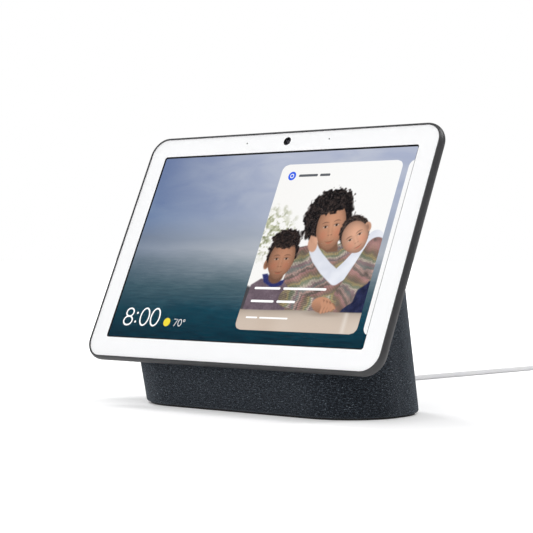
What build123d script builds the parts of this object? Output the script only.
"""Smart display: a leaning touch screen on a fabric-covered speaker base, with its power lead.

Millimetres. +Z is up, the screen faces -Y, +X is to the viewer's right.
The origin is on the table, below the middle of the appliance.
"""

import math
import os

from build123d import *

os.makedirs("parts", exist_ok=True)

# ------------------------------------------------------------------ driving dimensions
LEAN = 25.1  # the screen leans back this many degrees from upright
PANEL_Y, PANEL_Z = -15.2, 107.8  # middle of the glass front
GLASS_W, GLASS_H, GLASS_CORNER = 246.0, 165.0, 12.0
WINDOW_W, WINDOW_H, WINDOW_CORNER = 218.7, 137.8, 1.5  # clear window inside the printed border
EDGE_R = 5.48  # round of the bullnose edge
EDGE_IN = 3.46  # its centre lies this far inside the glass outline
EDGE_DEEP = 3.23  # and this far behind the glass front
BACK = 13.5  # depth of the flat back
BACK_CORNER = 10.0
SHOULDER = math.atan2(5.0, 12.0)  # the rear cover's shoulder rises 5 in 12 towards the flat back
WALL = 2.0

# depths behind the glass front
GLASS_END = 1.1
MASK_END = 1.4
GASKET_END = 1.7
TOUCH_END = 1.9
SHELF_END = 3.2
LCD_END = 3.4
PARTING = 5.2  # the front frame meets the rear cover
TONGUE_END = 5.8
GUIDE_END = 6.4
TRAY_END = 7.0
CHASSIS_END = 8.2
CANS_END = 9.3
BOARD_END = 10.1
STAND_END = 10.2  # steel stand plate behind the chassis

# base: a rounded block sheared towards the viewer as it rises
BASE_HALF_W = 102.0
BASE_FRONT, BASE_REAR = -36.2, 50.9  # at the level of the table
FRONT_SHEAR, REAR_SHEAR = 0.238, 0.19  # forward shift per millimetre of height
FRONT_CORNER, REAR_CORNER = 42.0, 38.0
BASE_TOP = 168.0
FOOT_T, FOOT_INSET = 1.2, 2.5
FABRIC_T, FABRIC_ROUND, HEM = 1.0, 2.0, 6.5
SHELL_T = 2.4
PLATE_T = 2.6
PLATE_INSET = HEM + 0.3
BENEATH = 0.05  # slip between the fabric and the shell below it

# front sensors
SENSOR_V = 76.4
CAMERA_R = 3.0
MIC_X, MIC_R = 35.5, 0.55
LIGHT_SENSOR_X = 14.0

# controls, on the shoulder of the rear cover
CONTROL_IN = 4.2  # their middle lies this far up the shoulder
CONTROL_GAP = 0.35
CONTROL_PROUD = 1.1
SLIDER_LEN, SLIDER_W, SLIDER_TRAVEL = 12.0, 4.5, 3.0
ROCKER_LEN, ROCKER_W, ROCKER_V = 27.0, 4.6, 22.0
PIVOT_R, PIVOT_DEEP, PIVOT_CLEARANCE = 0.8, 3.3, 0.05
NUB_X = 10.5  # a nub stands over each of the rocker's two switches, this far from the pivot
NUB_END = 4.05  # depth of its tip, which a full rock brings to 0.07 mm above the switch

# speakers
WOOFER_Z, WOOFER_BACKSET = 58.5, 6.6
WOOFER_MOUTH_R = 33.9
BOX_W, BOX_H, BOX_D = 112.0, 81.0, 30.0
TWEETER_Z, TWEETER_R, TWEETER_LEN, TWEETER_INSET = 20.0, 12.0, 11.0, 5.8

# power lead
LEAD_R = 1.9
JACK_X, JACK_Z = -42.0, 10.5
PORT_X = -22.0
PLUG_END, RELIEF_END = 68.0, 88.0
COIL_CENTRE, COIL_R = (-8.6, 432.0), 21.7
COIL_COLUMNS, COIL_LAYERS = 4, 2
TIE_T = 0.5
ADAPTER_Y, ADAPTER_X, ADAPTER_W, ADAPTER_T = 455.0, 32.0, 54.0, 26.0
TAIL_Z = 7.5

# ------------------------------------------------------------------ places
COS_LEAN, SIN_LEAN = math.cos(math.radians(LEAN)), math.sin(math.radians(LEAN))
SCREEN = Plane(origin=(0, PANEL_Y, PANEL_Z), x_dir=(1, 0, 0), z_dir=(0, -COS_LEAN, SIN_LEAN))
SHOULDER_OUT = EDGE_R * math.sin(SHOULDER) - EDGE_IN  # where the round edge ends, against the glass outline
SHOULDER_DEEP = EDGE_DEEP + EDGE_R * math.cos(SHOULDER)
CONTROL_OUT = SHOULDER_OUT - CONTROL_IN
CONTROL_DEEP = SHOULDER_DEEP + CONTROL_IN * math.tan(SHOULDER)


def depth(value):
    """Plane parallel to the glass, value behind its front, facing the viewer."""
    return SCREEN.offset(-value)


def behind(value):
    """The same plane, facing away from the viewer, with x to the viewer's right."""
    return Plane(origin=depth(value).origin, x_dir=(1, 0, 0), z_dir=-SCREEN.z_dir)


def shoulder_plane(toward, along, x, v):
    """Plane on the rear cover's shoulder, facing out of it."""
    normal = toward * math.sin(SHOULDER) - SCREEN.z_dir * math.cos(SHOULDER)
    return Plane(origin=depth(CONTROL_DEEP).from_local_coords((x, v, 0)), x_dir=along, z_dir=normal)


SLIDER_PLANE = shoulder_plane(SCREEN.y_dir, SCREEN.x_dir, 0, GLASS_H / 2 + CONTROL_OUT)
ROCKER_PLANE = shoulder_plane(SCREEN.x_dir, SCREEN.y_dir, GLASS_W / 2 + CONTROL_OUT, ROCKER_V)

REAR_TILT = math.atan(REAR_SHEAR)
WOOFER = Plane(
    origin=(0, BASE_REAR - REAR_SHEAR * WOOFER_Z - WOOFER_BACKSET / math.cos(REAR_TILT), WOOFER_Z),
    x_dir=(-1, 0, 0),
    z_dir=(0, math.cos(REAR_TILT), math.sin(REAR_TILT)),
)

DIAGONAL = math.sqrt(0.5)


def tweeter_plane(side):
    """Face of a tweeter, just inside the front corner of the base, looking out."""
    front = BASE_FRONT - FRONT_SHEAR * TWEETER_Z
    out = FRONT_CORNER * DIAGONAL - TWEETER_INSET * DIAGONAL
    return Plane(
        origin=(side * (BASE_HALF_W - FRONT_CORNER + out), front + FRONT_CORNER - out, TWEETER_Z),
        x_dir=(DIAGONAL, side * DIAGONAL, 0),
        z_dir=(side * DIAGONAL, -DIAGONAL, -FRONT_SHEAR * DIAGONAL),
    )


def rear_plane(x, z):
    """Plane facing backwards at a height on the back of the base."""
    return Plane(origin=(x, BASE_REAR - REAR_SHEAR * z, z), x_dir=(-1, 0, 0), z_dir=(0, 1, 0))


# ------------------------------------------------------------------ shapes added to the part being built
def rounded_plate(plane, width, height, corner, centre=(0, 0)):
    """Rounded rectangle on a plane."""
    with BuildSketch(plane) as outline:
        with Locations(centre):
            RectangleRounded(width, height, corner)
    return outline.sketch


def slab(width, height, corner, top, bottom, centre=(0, 0), mode=Mode.ADD):
    """Rounded plate parallel to the glass between two depths."""
    extrude(rounded_plate(depth(bottom), width, height, corner, centre), amount=bottom - top, mode=mode)


def block(plane, width, height, thickness, centres=((0, 0),), mode=Mode.ADD):
    """Plain blocks standing on a plane."""
    with BuildSketch(plane) as outline:
        with Locations(*centres):
            Rectangle(width, height)
    extrude(outline.sketch, amount=thickness, mode=mode)


def round_bar(plane, radius, length, centres=((0, 0),), mode=Mode.ADD):
    """Round bars standing on a plane."""
    with BuildSketch(plane) as outline:
        with Locations(*centres):
            Circle(radius)
    extrude(outline.sketch, amount=length, mode=mode)


def stadium_bar(plane, length, width, height, centre=(0, 0), mode=Mode.ADD):
    """Bar with round ends standing on a plane."""
    with BuildSketch(plane) as outline:
        with Locations(centre):
            SlotOverall(length, width)
    extrude(outline.sketch, amount=height, mode=mode)


def turned(plane, profile, mode=Mode.ADD):
    """Solid of revolution about a plane's z axis, from (radius, height) points."""
    section = Plane(origin=plane.origin, x_dir=plane.x_dir, z_dir=-plane.y_dir)
    with BuildSketch(section) as outline:
        with BuildLine():
            Polyline(*profile, close=True)
        make_face()
    revolve(outline.sketch, axis=Axis(plane.origin, plane.z_dir), mode=mode)


def edge_outline(at_depth, wall=0.0):
    """Outline of the housing on its round edge at a depth, or of its inner face behind a wall."""
    out = math.sqrt((EDGE_R - wall) ** 2 - (at_depth - EDGE_DEEP) ** 2) - EDGE_IN
    return rounded_plate(depth(at_depth), GLASS_W + 2 * out, GLASS_H + 2 * out, GLASS_CORNER + out)


def round_edge(front, back, steps, mode=Mode.ADD):
    """The bullnose edge between two depths, in even steps of its arc, as a solid plate."""
    first, last = (math.asin((d - EDGE_DEEP) / EDGE_R) for d in (front, back))
    depths = [EDGE_DEEP + EDGE_R * math.sin(first + (last - first) * k / steps) for k in range(steps + 1)]
    loft([edge_outline(d) for d in depths], ruled=True, mode=mode)


def rear_body(wall=0.0, mode=Mode.ADD):
    """Rear half of the housing from the parting back, or the space inside its wall."""
    steps = 5
    radius = EDGE_R - wall
    first, last = math.asin((PARTING - EDGE_DEEP) / radius), math.pi / 2 - SHOULDER
    angles = [first + (last - first) * k / steps for k in range(steps + 1)]
    sections = [edge_outline(EDGE_DEEP + radius * math.sin(a), wall) for a in angles]
    out = radius * math.cos(last) - EDGE_IN
    run = (BACK - wall - EDGE_DEEP - radius * math.sin(last)) / math.tan(SHOULDER)
    width, height = GLASS_W + 2 * (out - run), GLASS_H + 2 * (out - run)
    sections.append(rounded_plate(depth(BACK - wall), width, height, BACK_CORNER - wall))
    loft(sections, ruled=True, mode=mode)


def base_outline(z, inset=0.0):
    """Outline of the base at a height, or that outline moved inwards."""
    front = BASE_FRONT - FRONT_SHEAR * z + inset
    rear = BASE_REAR - REAR_SHEAR * z - inset
    half = BASE_HALF_W - inset
    with BuildSketch(Plane.XY.offset(z)) as outline:
        with BuildLine():
            Polyline((-half, front), (half, front), (half, rear), (-half, rear), close=True)
        make_face()
        fillet(outline.vertices().group_by(Axis.Y)[0], FRONT_CORNER - inset)
        fillet(outline.vertices().group_by(Axis.Y)[-1], REAR_CORNER - inset)
    return outline.sketch


def base_block(low, high, inset=0.0, mode=Mode.ADD):
    """The sheared block of the base between two heights."""
    loft([base_outline(low, inset), base_outline(high, inset)], ruled=True, mode=mode)


def finish(piece, name):
    """Labels a finished piece and writes it."""
    piece.part.label = name
    export_step(piece.part, f"parts/{name}.step")


# ------------------------------------------------------------------ fasteners
LARGE_SCREW = (2.6, 1.2, 1.4)  # radius and height of the head, radius of the shank

COVER_SCREWS = [(x, v) for x in (-95, 95) for v in (-50, 5, 50)]
STAND_SCREWS = [(x, v) for x in (-30, 30) for v in (-46, -26)]
BOARD_SCREWS = [(x, v) for x in (-44, 44) for v in (-2, 48)]
FOOT_SCREWS = [(x, y) for x in (-30, 30) for y in (-21, -9)]
BASE_SCREWS = [(-80, 16), (80, 16), (-58, -25), (58, -25)]
WOOFER_SCREWS = [(x, y) for x in (-25.4, 25.4) for y in (-25.4, 25.4)]


def flipped(places):
    """The same places seen on a plane that faces the other way."""
    return [(x, -y) for x, y in places]


def screw_bodies(plane, places, kind, length):
    """Screws whose heads stand on the plane and whose shanks go down from it."""
    head_r, head_t, shank_r = kind
    round_bar(plane, head_r, head_t, places)
    round_bar(plane.offset(-length), shank_r, length, places)
    for x, y in places:
        recess = plane.offset(head_t * 0.4).from_local_coords((x, y, 0))
        star = Plane(origin=recess, x_dir=plane.x_dir, z_dir=plane.z_dir)
        with BuildSketch(star) as socket:
            RegularPolygon(head_r * 0.45, 6)
        extrude(socket.sketch, amount=head_t, mode=Mode.SUBTRACT)


# ------------------------------------------------------------------ envelope of the whole display
with BuildPart() as display_envelope:
    rear_body()
    round_edge(EDGE_DEEP, PARTING, 2)
    extrude(edge_outline(EDGE_DEEP), amount=120)

# ------------------------------------------------------------------ display: glass and optical stack
with BuildPart() as front_glass:
    slab(GLASS_W, GLASS_H, GLASS_CORNER, 0.0, GLASS_END)
    outward = Axis(SCREEN.origin, SCREEN.z_dir)
    chamfer(front_glass.faces().sort_by(outward)[-1].edges(), 0.25)
    round_bar(depth(GLASS_END), MIC_R, GLASS_END, [(-MIC_X, SENSOR_V), (MIC_X, SENSOR_V)], Mode.SUBTRACT)
finish(front_glass, "front_glass")

with BuildPart() as border_film:
    slab(GLASS_W - 0.4, GLASS_H - 0.4, GLASS_CORNER - 0.2, GLASS_END, MASK_END)
    slab(WINDOW_W, WINDOW_H, WINDOW_CORNER, GLASS_END, MASK_END, mode=Mode.SUBTRACT)
    film_t = MASK_END - GLASS_END
    round_bar(depth(MASK_END), CAMERA_R, film_t, [(0, SENSOR_V)], Mode.SUBTRACT)
    round_bar(depth(MASK_END), MIC_R, film_t, [(-MIC_X, SENSOR_V), (MIC_X, SENSOR_V)], Mode.SUBTRACT)
finish(border_film, "border_film")

with BuildPart() as touch_panel:
    slab(224.0, 143.0, 2.0, MASK_END, TOUCH_END)
finish(touch_panel, "touch_panel")

with BuildPart() as lcd_panel:
    slab(221.0, 140.0, 1.0, TOUCH_END, LCD_END)
finish(lcd_panel, "lcd_panel")

with BuildPart() as light_guide:
    slab(219.0, 136.0, 1.0, LCD_END, GUIDE_END, (0, 1.0))
finish(light_guide, "light_guide")

with BuildPart() as led_strip:
    block(depth(GUIDE_END), 214.0, 0.6, GUIDE_END - LCD_END, [(0, -69.5)])
    lamps = [(12.0 * k, -68.7) for k in range(-8, 9)]
    block(depth(GUIDE_END - 0.4), 5.0, 1.0, 1.6, lamps)
finish(led_strip, "led_strip")

with BuildPart() as backlight_tray:
    slab(223.6, 142.6, 2.0, TOUCH_END + 0.2, TRAY_END)
    slab(221.4, 140.4, 1.2, 0.0, GUIDE_END, mode=Mode.SUBTRACT)
finish(backlight_tray, "backlight_tray")

SENSOR_BAY = (90.0, 9.0, (0, SENSOR_V + 0.6))  # gap in the shelf for the camera and microphones

with BuildPart() as display_gasket:
    slab(GLASS_W - 0.6, GLASS_H - 0.6, GLASS_CORNER - 0.3, MASK_END, GASKET_END)
    slab(229.0, 148.0, 3.0, MASK_END, GASKET_END, mode=Mode.SUBTRACT)
    block(depth(GASKET_END), *SENSOR_BAY[:2], GASKET_END, [SENSOR_BAY[2]], Mode.SUBTRACT)
finish(display_gasket, "display_gasket")

# ------------------------------------------------------------------ housing of the display
with BuildPart() as front_frame:
    round_edge(0.0, PARTING, 8)
    slab(GLASS_W - 2.7, GLASS_H - 2.7, GLASS_CORNER - 1.3, PARTING, TONGUE_END)
    slab(GLASS_W + 0.3, GLASS_H + 0.3, GLASS_CORNER + 0.15, 0.0, GASKET_END, mode=Mode.SUBTRACT)
    slab(226.0, 145.0, 3.0, 0.0, SHELF_END, mode=Mode.SUBTRACT)
    slab(GLASS_W - 4.6, GLASS_H - 4.6, GLASS_CORNER - 2.3, SHELF_END, TONGUE_END, mode=Mode.SUBTRACT)
    block(depth(SHELF_END), *SENSOR_BAY[:2], SHELF_END, [SENSOR_BAY[2]], Mode.SUBTRACT)
finish(front_frame, "front_frame")

NECK_BAY = (150.0, 64.0, 6.0, (0, -38.0))  # opening of the rear cover into the base

with BuildPart() as rear_cover:
    rear_body()
    rear_body(WALL, mode=Mode.SUBTRACT)
    round_bar(depth(BACK - WALL), 3.0, BACK - WALL - CHASSIS_END, COVER_SCREWS)
    round_bar(depth(BACK - WALL), 0.9, BACK - WALL - CHASSIS_END, COVER_SCREWS, Mode.SUBTRACT)
    slab(*NECK_BAY[:3], 0.0, BACK, NECK_BAY[3], mode=Mode.SUBTRACT)
    slot_low, slot_high = -2 * WALL, 4 * WALL
    travel = SLIDER_LEN + SLIDER_TRAVEL + 2 * CONTROL_GAP
    stadium_bar(
        SLIDER_PLANE.offset(slot_low), travel, SLIDER_W + 2 * CONTROL_GAP, slot_high, mode=Mode.SUBTRACT
    )
    stadium_bar(
        ROCKER_PLANE.offset(slot_low),
        ROCKER_LEN + 2 * CONTROL_GAP,
        ROCKER_W + 2 * CONTROL_GAP,
        slot_high,
        mode=Mode.SUBTRACT,
    )
finish(rear_cover, "rear_cover")

RIM_W, RIM_H, RIM_T = 224.2, 143.2, 1.5

with BuildPart() as chassis_plate:
    slab(230.0, 149.0, 8.0, TRAY_END, CHASSIS_END)
    slab(RIM_W + 2 * RIM_T, RIM_H + 2 * RIM_T, 3.5, SHELF_END, TRAY_END)
    slab(RIM_W, RIM_H, 2.0, SHELF_END, TRAY_END, mode=Mode.SUBTRACT)
    block(depth(CHASSIS_END), 26.0, 7.0, CHASSIS_END, [(0, 74.0)], Mode.SUBTRACT)
    block(depth(CHASSIS_END), 7.0, 34.0, CHASSIS_END, [(114.5, ROCKER_V)], Mode.SUBTRACT)
    for pattern, radius in ((COVER_SCREWS, 0.9), (STAND_SCREWS, 1.4), (BOARD_SCREWS, 0.9)):
        round_bar(depth(CHASSIS_END), radius, CHASSIS_END - TRAY_END, pattern, Mode.SUBTRACT)
    for x, v in COVER_SCREWS:
        sunk = Plane(origin=depth(TRAY_END).from_local_coords((x, v, 0)), z_dir=SCREEN.z_dir)
        turned(sunk, [(0, 0), (1.8, 0), (0.9, -0.9), (0, -0.9)], Mode.SUBTRACT)
finish(chassis_plate, "chassis_plate")

with BuildPart() as display_screws:
    for x, v in COVER_SCREWS:
        sunk = Plane(origin=depth(TRAY_END).from_local_coords((x, v, 0)), z_dir=SCREEN.z_dir)
        turned(sunk, [(0, 0), (1.8, 0), (0.9, -0.9), (0.9, -4.2), (0, -4.2)])
    screw_bodies(behind(BOARD_END), flipped(BOARD_SCREWS), (1.8, 0.7, 0.9), BOARD_END - TRAY_END - 0.1)
finish(display_screws, "display_screws")

# ------------------------------------------------------------------ camera, microphones, light sensor
with BuildPart() as camera_module:
    block(depth(5.0), 9.0, 5.6, 2.4, [(0, SENSOR_V)])
    round_bar(depth(2.6), 2.6, 1.0, [(0, SENSOR_V)])
    round_bar(depth(2.4), 1.9, 0.8, [(0, SENSOR_V)], Mode.SUBTRACT)
finish(camera_module, "camera_module")

with BuildPart() as camera_lens:
    lens_seat = Plane(origin=depth(2.4).from_local_coords((0, SENSOR_V, 0)), z_dir=SCREEN.z_dir)
    turned(lens_seat, [(0, 0), (1.88, 0), (1.88, 0.3), (1.2, 0.55), (0, 0.65)])
finish(camera_lens, "camera_lens")

with BuildPart() as sensor_boards:
    block(depth(3.7), 10.0, 5.0, 0.8, [(-MIC_X, SENSOR_V), (MIC_X, SENSOR_V)])
    block(depth(4.6), 3.6, 2.8, 0.9, [(-MIC_X, SENSOR_V), (MIC_X, SENSOR_V)])
    block(depth(3.8), 9.0, 5.0, 0.8, [(LIGHT_SENSOR_X, SENSOR_V)])
    block(depth(3.0), 3.0, 2.4, 1.0, [(LIGHT_SENSOR_X, SENSOR_V)])
finish(sensor_boards, "sensor_boards")

with BuildPart() as microphone_gaskets:
    round_bar(depth(2.9), 2.2, 2.9 - MASK_END, [(-MIC_X, SENSOR_V), (MIC_X, SENSOR_V)])
    round_bar(depth(2.9), 0.6, 2.9 - MASK_END, [(-MIC_X, SENSOR_V), (MIC_X, SENSOR_V)], Mode.SUBTRACT)
finish(microphone_gaskets, "microphone_gaskets")

# ------------------------------------------------------------------ privacy slider
UNDER_COVER = -WALL - 0.15
REST_X = -SLIDER_TRAVEL / 2

with BuildPart() as privacy_slider:
    knob_height = CONTROL_PROUD - UNDER_COVER
    stadium_bar(SLIDER_PLANE.offset(UNDER_COVER), SLIDER_LEN, SLIDER_W, knob_height, (REST_X, 0))
    fillet(privacy_slider.faces().sort_by(Axis(SLIDER_PLANE.origin, SLIDER_PLANE.z_dir))[-1].edges(), 0.4)
    grooves = [(REST_X + 1.6 * k, 0) for k in (-1, 0, 1)]
    block(SLIDER_PLANE.offset(CONTROL_PROUD - 0.3), 0.6, 2.6, 1.0, grooves, Mode.SUBTRACT)
    stadium_bar(SLIDER_PLANE.offset(UNDER_COVER - 0.8), SLIDER_LEN + 5.0, SLIDER_W + 2.4, 0.8, (REST_X, 0))
    round_bar(SLIDER_PLANE.offset(UNDER_COVER - 1.5), 0.7, 0.8, [(REST_X, 0)])
finish(privacy_slider, "privacy_slider")

with BuildPart() as privacy_switch:
    board = SLIDER_PLANE.offset(UNDER_COVER - 2.35)
    block(board, 20.0, 4.4, 0.6)
    block(board.offset(0.6), 9.0, 3.4, 0.8)
    block(board.offset(0.6), SLIDER_TRAVEL + 2.0, 1.8, 0.8, mode=Mode.SUBTRACT)
finish(privacy_switch, "privacy_switch")

# ------------------------------------------------------------------ volume rocker
with BuildPart() as volume_rocker:
    stadium_bar(ROCKER_PLANE.offset(-WALL - 0.2), ROCKER_LEN, ROCKER_W, CONTROL_PROUD + WALL + 0.2)
    fillet(volume_rocker.faces().sort_by(Axis(ROCKER_PLANE.origin, ROCKER_PLANE.z_dir))[-1].edges(), 0.5)
    block(ROCKER_PLANE.offset(-PIVOT_DEEP), 2.6, ROCKER_W - 0.4, PIVOT_DEEP - WALL)
    axle = Plane(
        origin=ROCKER_PLANE.from_local_coords((0, 3.7, -PIVOT_DEEP)),
        x_dir=ROCKER_PLANE.x_dir,
        z_dir=-ROCKER_PLANE.y_dir,
    )
    round_bar(axle, PIVOT_R, 7.4)
    round_bar(ROCKER_PLANE.offset(-NUB_END), 0.8, NUB_END - 1.9, [(-NUB_X, 0), (NUB_X, 0)])
finish(volume_rocker, "volume_rocker")

BOARD_DEEP = 5.0

with BuildPart() as rocker_bearings:
    block(ROCKER_PLANE.offset(-BOARD_DEEP), 3.6, 1.0, BOARD_DEEP - WALL - 0.1, [(0, -3.15), (0, 3.15)])
    round_bar(axle.offset(-1.0), PIVOT_R + PIVOT_CLEARANCE, 9.4, mode=Mode.SUBTRACT)
finish(rocker_bearings, "rocker_bearings")

with BuildPart() as volume_switch:
    block(ROCKER_PLANE.offset(-BOARD_DEEP - 0.6), 30.0, 4.4, 0.6)
    block(ROCKER_PLANE.offset(-BOARD_DEEP - 0.6), 5.0, 7.3, 0.6)
    round_bar(ROCKER_PLANE.offset(-BOARD_DEEP), 1.7, 0.45, [(-NUB_X, 0), (NUB_X, 0)])
finish(volume_switch, "volume_switch")

# ------------------------------------------------------------------ electronics behind the chassis
BOARD_CENTRE = (0, 23.0)

with BuildPart() as shield_cans:
    for width, height, centre in ((36, 26, (-24, 30)), (30, 20, (18, 36)), (24, 16, (22, 8))):
        slab(width, height, 1.0, CHASSIS_END + 0.2, CANS_END, centre)
finish(shield_cans, "shield_cans")

with BuildPart() as logic_board:
    slab(100.0, 62.0, 2.0, CANS_END, BOARD_END, BOARD_CENTRE)
    round_bar(depth(BOARD_END), 0.9, BOARD_END - CANS_END, BOARD_SCREWS, Mode.SUBTRACT)
finish(logic_board, "logic_board")

with BuildPart() as heat_spreader:
    slab(76.0, 50.0, 3.0, BOARD_END, BOARD_END + 0.7, BOARD_CENTRE)
finish(heat_spreader, "heat_spreader")

with BuildPart() as antennas:
    for side in (-1, 1):
        slab(9.0, 34.0, 1.0, CHASSIS_END, 9.0, (side * 104.0, 26.0 * side))
        slab(4.0, 12.0, 1.0, 9.0, 9.8, (side * 104.0, 26.0 * side))
finish(antennas, "antennas")

with BuildPart() as display_flex:
    slab(22.0, 58.0, 0.5, CHASSIS_END, 8.5, (62.0, -37.0))
    slab(22.0, 8.0, 0.5, 8.5, 9.1, (62.0, -62.0))
finish(display_flex, "display_flex")

# ------------------------------------------------------------------ base: fabric, shell, plate, foot
with BuildPart() as fabric_sleeve:
    base_block(FOOT_T, BASE_TOP)
    fillet(fabric_sleeve.faces().sort_by(Axis.Z)[0].edges(), FABRIC_ROUND)
    base_block(FOOT_T + FABRIC_T, BASE_TOP, FABRIC_T, mode=Mode.SUBTRACT)
    base_block(FOOT_T, FOOT_T + FABRIC_T, HEM, mode=Mode.SUBTRACT)
    add(display_envelope.part, mode=Mode.SUBTRACT)
    round_bar(rear_plane(JACK_X, JACK_Z).offset(-8.0), 4.7, 16.0, mode=Mode.SUBTRACT)
    stadium_bar(rear_plane(PORT_X, JACK_Z).offset(-8.0), 11.0, 5.4, 16.0, mode=Mode.SUBTRACT)
finish(fabric_sleeve, "fabric_sleeve")

SHELL_INSET = FABRIC_T + BENEATH
SHELL_FLOOR = FOOT_T + FABRIC_T + BENEATH
CAVITY_INSET = SHELL_INSET + SHELL_T
PLATE_TOP = FOOT_T + PLATE_T
BOSS_TOP = 24.0

with BuildPart() as base_shell:
    base_block(SHELL_FLOOR, BASE_TOP, SHELL_INSET)
    base_block(SHELL_FLOOR, BASE_TOP, CAVITY_INSET, mode=Mode.SUBTRACT)
    base_block(SHELL_FLOOR, PLATE_TOP, PLATE_INSET, mode=Mode.SUBTRACT)
    with BuildSketch(WOOFER) as mouth:
        Circle(32.0)
        for x in (-16, 0, 16):
            with Locations((x, 0)):
                Rectangle(2.0, 64.0, mode=Mode.SUBTRACT)
    extrude(mouth.sketch, amount=20, mode=Mode.SUBTRACT)
    for side in (-1, 1):
        round_bar(tweeter_plane(side), 9.5, 12.0, mode=Mode.SUBTRACT)
    round_bar(rear_plane(JACK_X, JACK_Z).offset(-10.0), 4.7, 16.0, mode=Mode.SUBTRACT)
    stadium_bar(rear_plane(PORT_X, JACK_Z).offset(-10.0), 9.6, 4.2, 16.0, mode=Mode.SUBTRACT)
    add(display_envelope.part, mode=Mode.SUBTRACT)
    for x, y in BASE_SCREWS:
        reach = 20.0 if y > 0 else 9.0
        round_bar(Plane.XY.offset(PLATE_TOP), 3.6, BOSS_TOP - PLATE_TOP, [(x, y)])
        rib_size = (reach, 2.0) if y > 0 else (2.0, reach)
        rib_centre = (x + math.copysign(reach / 2, x), y) if y > 0 else (x, y - reach / 2)
        block(Plane.XY.offset(PLATE_TOP), *rib_size, BOSS_TOP - PLATE_TOP, [rib_centre])
    round_bar(Plane.XY.offset(PLATE_TOP), 1.4, 12.0, BASE_SCREWS, Mode.SUBTRACT)
finish(base_shell, "base_shell")

with BuildPart() as base_plate:
    base_block(FOOT_T, PLATE_TOP, PLATE_INSET + 0.1)
    for pattern in (BASE_SCREWS, FOOT_SCREWS):
        round_bar(Plane.XY.offset(FOOT_T), 1.4, PLATE_T, pattern, Mode.SUBTRACT)
        round_bar(Plane.XY.offset(FOOT_T), 2.7, 1.3, pattern, Mode.SUBTRACT)
finish(base_plate, "base_plate")

with BuildPart() as rubber_foot:
    base_block(0.0, FOOT_T, FOOT_INSET)
    fillet(rubber_foot.faces().sort_by(Axis.Z)[0].edges(), 0.4)
finish(rubber_foot, "rubber_foot")

UNDERSIDE = Plane(origin=(0, 0, FOOT_T + 1.3), x_dir=(1, 0, 0), z_dir=(0, 0, -1))

with BuildPart() as base_screws:
    screw_bodies(UNDERSIDE, flipped(BASE_SCREWS), LARGE_SCREW, 12.0)
finish(base_screws, "base_screws")

# ------------------------------------------------------------------ stand inside the base
with BuildPart() as stand_bracket:
    upper = depth((CHASSIS_END + STAND_END) / 2)
    top, bend = upper.from_local_coords((0, -18, 0)), upper.from_local_coords((0, -54, 0))
    toe_z = PLATE_TOP + 1.0
    with BuildSketch(Plane.YZ.offset(-38)) as side_view:
        with BuildLine() as spine:
            FilletPolyline((top.Y, top.Z), (bend.Y, bend.Z), (-29, toe_z), (-2, toe_z), radius=4)
        trace(spine.line, line_width=STAND_END - CHASSIS_END)
    extrude(side_view.sketch, amount=76)
    round_bar(depth(STAND_END + 1), 1.4, 5.0, STAND_SCREWS, Mode.SUBTRACT)
    round_bar(Plane.XY, 1.4, 10.0, FOOT_SCREWS, Mode.SUBTRACT)
    block(Plane.XZ.offset(50), 44.0, 22.0, -60.0, [(0, 30)], Mode.SUBTRACT)
finish(stand_bracket, "stand_bracket")

with BuildPart() as stand_screws:
    screw_bodies(behind(STAND_END), flipped(STAND_SCREWS), LARGE_SCREW, STAND_END - TRAY_END - 0.1)
    screw_bodies(UNDERSIDE, flipped(FOOT_SCREWS), LARGE_SCREW, 7.5)
finish(stand_screws, "stand_screws")

with BuildPart() as counterweight:
    block(Plane.XY.offset(PLATE_TOP + 2.0), 98.0, 22.0, 10.0, [(0, -13.0)])
    fillet(counterweight.edges().filter_by(Axis.Z), 3.0)
    round_bar(Plane.XY.offset(PLATE_TOP + 2.0), 1.4, 4.3, FOOT_SCREWS, Mode.SUBTRACT)
finish(counterweight, "counterweight")

# ------------------------------------------------------------------ woofer in its sealed box
with BuildPart() as speaker_box:
    block(WOOFER.offset(-BOX_D), BOX_W, BOX_H, BOX_D)
    fillet(speaker_box.edges().filter_by(Axis(WOOFER.origin, WOOFER.z_dir)), 8.0)
    inner = rounded_plate(WOOFER.offset(2 - BOX_D), BOX_W - 4, BOX_H - 4, 6.0)
    extrude(inner, amount=BOX_D - 4, mode=Mode.SUBTRACT)
    round_bar(WOOFER.offset(-2.5), WOOFER_MOUTH_R + 0.2, 3.0, mode=Mode.SUBTRACT)
    round_bar(WOOFER.offset(-2.5), 0.9, 3.0, WOOFER_SCREWS, Mode.SUBTRACT)
finish(speaker_box, "speaker_box")

with BuildPart() as woofer_basket:
    rim_and_cone = [(33.6, 1.8), (38, 1.8), (38, 0), (33.9, 0), (33.9, -5), (18.5, -14.5)]
    seat_and_bowl = [(11.2, -14.5), (11.2, -13), (17.9, -13), (32.4, -4.1), (32.4, 0), (33.6, 0)]
    turned(WOOFER, rim_and_cone + seat_and_bowl)
    round_bar(WOOFER.offset(-0.5), 0.9, 3.0, WOOFER_SCREWS, Mode.SUBTRACT)
finish(woofer_basket, "woofer_basket")

with BuildPart() as woofer_magnet:
    turned(WOOFER, [(12, -14.5), (20, -14.5), (20, -22.5), (12, -22.5)])
finish(woofer_magnet, "woofer_magnet")

with BuildPart() as woofer_yoke:
    turned(WOOFER, [(0, -13.2), (9.3, -13.2), (9.3, -22.5), (19, -22.5), (19, -25), (0, -25)])
finish(woofer_yoke, "woofer_yoke")

with BuildPart() as voice_coil:
    turned(WOOFER, [(10, -9), (10.8, -9), (10.8, -20), (10, -20)])
finish(voice_coil, "voice_coil")

with BuildPart() as woofer_cone:
    turned(WOOFER, [(10.8, -9.8), (29, -1.8), (29, -0.9), (10, -8.2), (10, -9), (10.8, -9)])
finish(woofer_cone, "woofer_cone")

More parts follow.
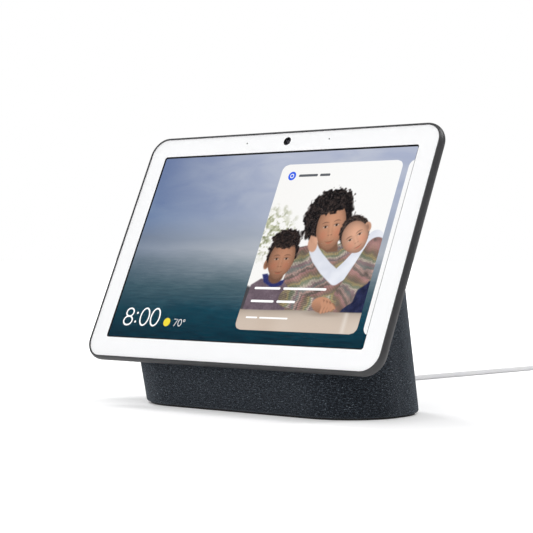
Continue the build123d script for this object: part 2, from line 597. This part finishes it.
with BuildPart() as dust_cap:
    outer = [(0, -4.6), (3.6, -4.9), (7.0, -5.9), (10.0, -7.4), (10.8, -7.85)]
    inner = [(10.0, -8.2), (9.4, -7.8), (6.6, -6.5), (3.4, -5.6), (0, -5.3)]
    turned(WOOFER, outer + inner)
finish(dust_cap, "dust_cap")

with BuildPart() as woofer_surround:
    roll_section = Plane(origin=WOOFER.origin, x_dir=WOOFER.x_dir, z_dir=-WOOFER.y_dir)
    with BuildSketch(roll_section) as roll:
        with Locations((31.2, 0.6)):
            Circle(1.9)
            Circle(1.3, mode=Mode.SUBTRACT)
        with Locations((31.2, -1.4)):
            Rectangle(4.4, 4.0, mode=Mode.SUBTRACT)
        with Locations((32.95, 0.3)):
            Rectangle(1.1, 0.6)
    revolve(roll.sketch, axis=Axis(WOOFER.origin, WOOFER.z_dir))
finish(woofer_surround, "woofer_surround")

with BuildPart() as woofer_spider:
    wave = [(11.4, -12.4), (15, -12.4), (15, -13), (17, -13), (17, -12.4), (16, -11.9), (11.4, -11.9)]
    turned(WOOFER, wave)
finish(woofer_spider, "woofer_spider")

with BuildPart() as woofer_screws:
    screw_bodies(WOOFER.offset(1.8), WOOFER_SCREWS, (1.7, 0.8, 0.9), 3.8)
finish(woofer_screws, "woofer_screws")

# ------------------------------------------------------------------ tweeters behind the front corners
TWEETER_BODY = [(0, -TWEETER_LEN), (TWEETER_R, -TWEETER_LEN), (TWEETER_R, 0), (9.6, 0), (9.2, -4), (0, -4)]
TWEETER_DOME = [(0, -1.4), (3.4, -1.8), (6.4, -2.7), (9, -4), (8.2, -4), (5.9, -3.1), (3.2, -2.3), (0, -1.9)]

with BuildPart() as tweeter_left:
    turned(tweeter_plane(-1), TWEETER_BODY)
finish(tweeter_left, "tweeter_left")

with BuildPart() as tweeter_right:
    turned(tweeter_plane(1), TWEETER_BODY)
finish(tweeter_right, "tweeter_right")

with BuildPart() as tweeter_domes:
    turned(tweeter_plane(-1), TWEETER_DOME)
    turned(tweeter_plane(1), TWEETER_DOME)
finish(tweeter_domes, "tweeter_domes")

# ------------------------------------------------------------------ power entry
JACK_FACE = 44.4

with BuildPart() as power_board:
    block(Plane.XY.offset(4.6), 42.0, 26.0, 1.0, [(-34.0, 32.0)])
finish(power_board, "power_board")

with BuildPart() as dc_jack:
    block(Plane.XY.offset(5.6), 11.0, 13.0, 9.6, [(JACK_X, JACK_FACE - 6.5)])
    socket = Plane(origin=(JACK_X, JACK_FACE, JACK_Z), x_dir=(1, 0, 0), z_dir=(0, -1, 0))
    round_bar(socket, 2.9, 10.0, mode=Mode.SUBTRACT)
    round_bar(socket.offset(1.0), 0.9, 9.0)
finish(dc_jack, "dc_jack")

with BuildPart() as service_port:
    block(Plane.XY.offset(5.6), 9.6, 8.0, 6.8, [(PORT_X, JACK_FACE - 4.0)])
    slot = Plane(origin=(PORT_X, JACK_FACE, 9.2), x_dir=(1, 0, 0), z_dir=(0, -1, 0))
    stadium_bar(slot, 8.4, 2.6, 6.4, mode=Mode.SUBTRACT)
    block(slot.offset(0.6), 6.6, 0.7, 6.0)
finish(service_port, "service_port")

# ------------------------------------------------------------------ cables inside the housing
SPEAKER_CABLE = [(45, -9.6, 91.6), (46, -7.6, 81), (45, -8.6, 70), (40, -6.4, 62), (32, -1.2, 59)]
POWER_CABLE = [
    (-42, 20, 9.5),
    (-54, 14, 9.5),
    (-64, 8, 15),
    (-66, 0, 32),
    (-62, -6.5, 56),
    (-56, -8.4, 78),
    (-48, -9.2, 92),
]


def arc_radii(points):
    """Radii of the tangent arcs at the corners of a route, each as large as its shorter run allows."""
    corners = [Vector(*p) for p in points]
    radii = []
    for before, here, after in zip(corners, corners[1:], corners[2:]):
        turn = math.radians((here - before).get_angle(after - here))
        run = min((here - before).length, (after - here).length)
        radii.append(0.45 * run / math.tan(turn / 2))
    return radii


def tube(points, radius):
    """Round cable along a route, in the part being built; returns its length and its radii."""
    radii = arc_radii(points)
    with BuildLine() as route:
        FilletPolyline(*points, radius=radii)
    path = route.line
    start = Plane(origin=path @ 0, z_dir=path % 0)
    with BuildSketch(start) as section:
        Circle(radius)
    sweep(section.sketch, path=path)
    return sum(edge.length for edge in path.edges()), radii


with BuildPart() as cable_harness:
    tube(SPEAKER_CABLE, 1.1)
    tube(POWER_CABLE, 1.3)
finish(cable_harness, "cable_harness")

# ------------------------------------------------------------------ power lead
LEAD_ROUTE = [
    (-42.0, 88.0, 10.5),
    (-42.4, 101.0, 10.1),
    (-43.8, 117.0, 7.4),
    (-46.4, 135.0, 3.6),
    (-50.0, 155.0, 2.1),
    (-53.6, 178.0, 1.9),
    (-55.8, 204.0, 1.9),
    (-55.0, 232.0, 1.9),
    (-52.0, 264.0, 1.9),
    (-48.2, 298.0, 1.9),
    (-44.9, 332.0, 1.9),
    (-41.3, 364.0, 1.9),
    (-38.6, 394.0, 1.9),
    (-36.0, 420.0, 1.9),
]
TAIL_ROUTE = [(1.0, 459.6, 6.2), (7.5, 458.6, 6.4), (13.5, 456.4, 7.1), (20.0, 455.2, 7.5)]

lead_axis = Plane(origin=(JACK_X, 0, JACK_Z), x_dir=(-1, 0, 0), z_dir=(0, 1, 0))

with BuildPart() as dc_plug:
    barrel = [(0.95, 36), (2.75, 36), (2.75, 46), (4.3, 46), (4.3, 49.6), (5, 50.2), (5, PLUG_END - 0.8)]
    tail_end = [(4.2, PLUG_END), (0, PLUG_END), (0, 45.5), (0.95, 45.5)]
    turned(lead_axis, barrel + tail_end)
finish(dc_plug, "dc_plug")

with BuildPart() as plug_relief:
    ribs = [(0, PLUG_END), (3.7, PLUG_END)]
    for k in range(6):
        ring = PLUG_END + 3.0 * k
        width = 3.7 - 0.22 * k
        neck = width - 0.45
        ribs += [(width, ring + 1.9), (neck, ring + 2.1), (neck, ring + 2.8), (width - 0.22, ring + 3.0)]
    ribs += [(2.4, RELIEF_END), (0, RELIEF_END)]
    turned(lead_axis, ribs)
finish(plug_relief, "plug_relief")

with BuildPart() as power_lead:
    lead_run, lead_radii = tube(LEAD_ROUTE, LEAD_R)
finish(power_lead, "power_lead")

COIL_W, COIL_H = 2 * LEAD_R * COIL_COLUMNS, 2 * LEAD_R * COIL_LAYERS
COIL_MIDDLE = TIE_T + COIL_H / 2  # the tie passes under the coil

with BuildPart() as lead_coil:
    coil_section = Plane(origin=(*COIL_CENTRE, 0), x_dir=(1, 0, 0), z_dir=(0, -1, 0))
    with BuildSketch(coil_section) as bundle:
        with Locations((COIL_R, COIL_MIDDLE)):
            RectangleRounded(COIL_W, COIL_H, LEAD_R)
    revolve(bundle.sketch, axis=Axis(coil_section.origin, (0, 0, 1)))
finish(lead_coil, "lead_coil")

with BuildPart() as lead_tail:
    tail_run, tail_radii = tube(TAIL_ROUTE, LEAD_R)
finish(lead_tail, "lead_tail")

with BuildPart() as lead_tie:
    with BuildSketch(coil_section.offset(-4.0)) as band:
        with Locations((COIL_R, COIL_MIDDLE)):
            RectangleRounded(COIL_W + 2 * TIE_T, COIL_H + 2 * TIE_T, LEAD_R + TIE_T)
    extrude(band.sketch, amount=8.0)
    add(lead_coil.part, mode=Mode.SUBTRACT)
finish(lead_tie, "lead_tie")

with BuildPart() as adapter_relief:
    boot = Plane(origin=(20.0, ADAPTER_Y, TAIL_Z), x_dir=(0, 1, 0), z_dir=(1, 0, 0))
    turned(boot, [(0, 0), (2.5, 0), (3.8, ADAPTER_X - 20.0), (0, ADAPTER_X - 20.0)])
finish(adapter_relief, "adapter_relief")

with BuildPart() as power_adapter:
    with BuildSketch(Plane.XY) as footprint:
        with Locations((ADAPTER_X + ADAPTER_W / 2, ADAPTER_Y)):
            RectangleRounded(ADAPTER_W, ADAPTER_W, 9.0)
    extrude(footprint.sketch, amount=ADAPTER_T)
    flats = power_adapter.faces().sort_by(Axis.Z)
    fillet(flats[0].edges() + flats[-1].edges(), 3.0)
finish(power_adapter, "power_adapter")

with BuildPart() as adapter_pins:
    pins = Plane(origin=(ADAPTER_X + ADAPTER_W, ADAPTER_Y, ADAPTER_T / 2), x_dir=(0, 1, 0), z_dir=(1, 0, 0))
    block(pins, 1.5, 6.3, 16.0, [(-6.35, 0), (6.35, 0)])
finish(adapter_pins, "adapter_pins")

print("lead radii", [round(r) for r in lead_radii], "tail radii", [round(r) for r in tail_radii])
print("lead run", round(lead_run, 1), "tail run", round(tail_run, 1))
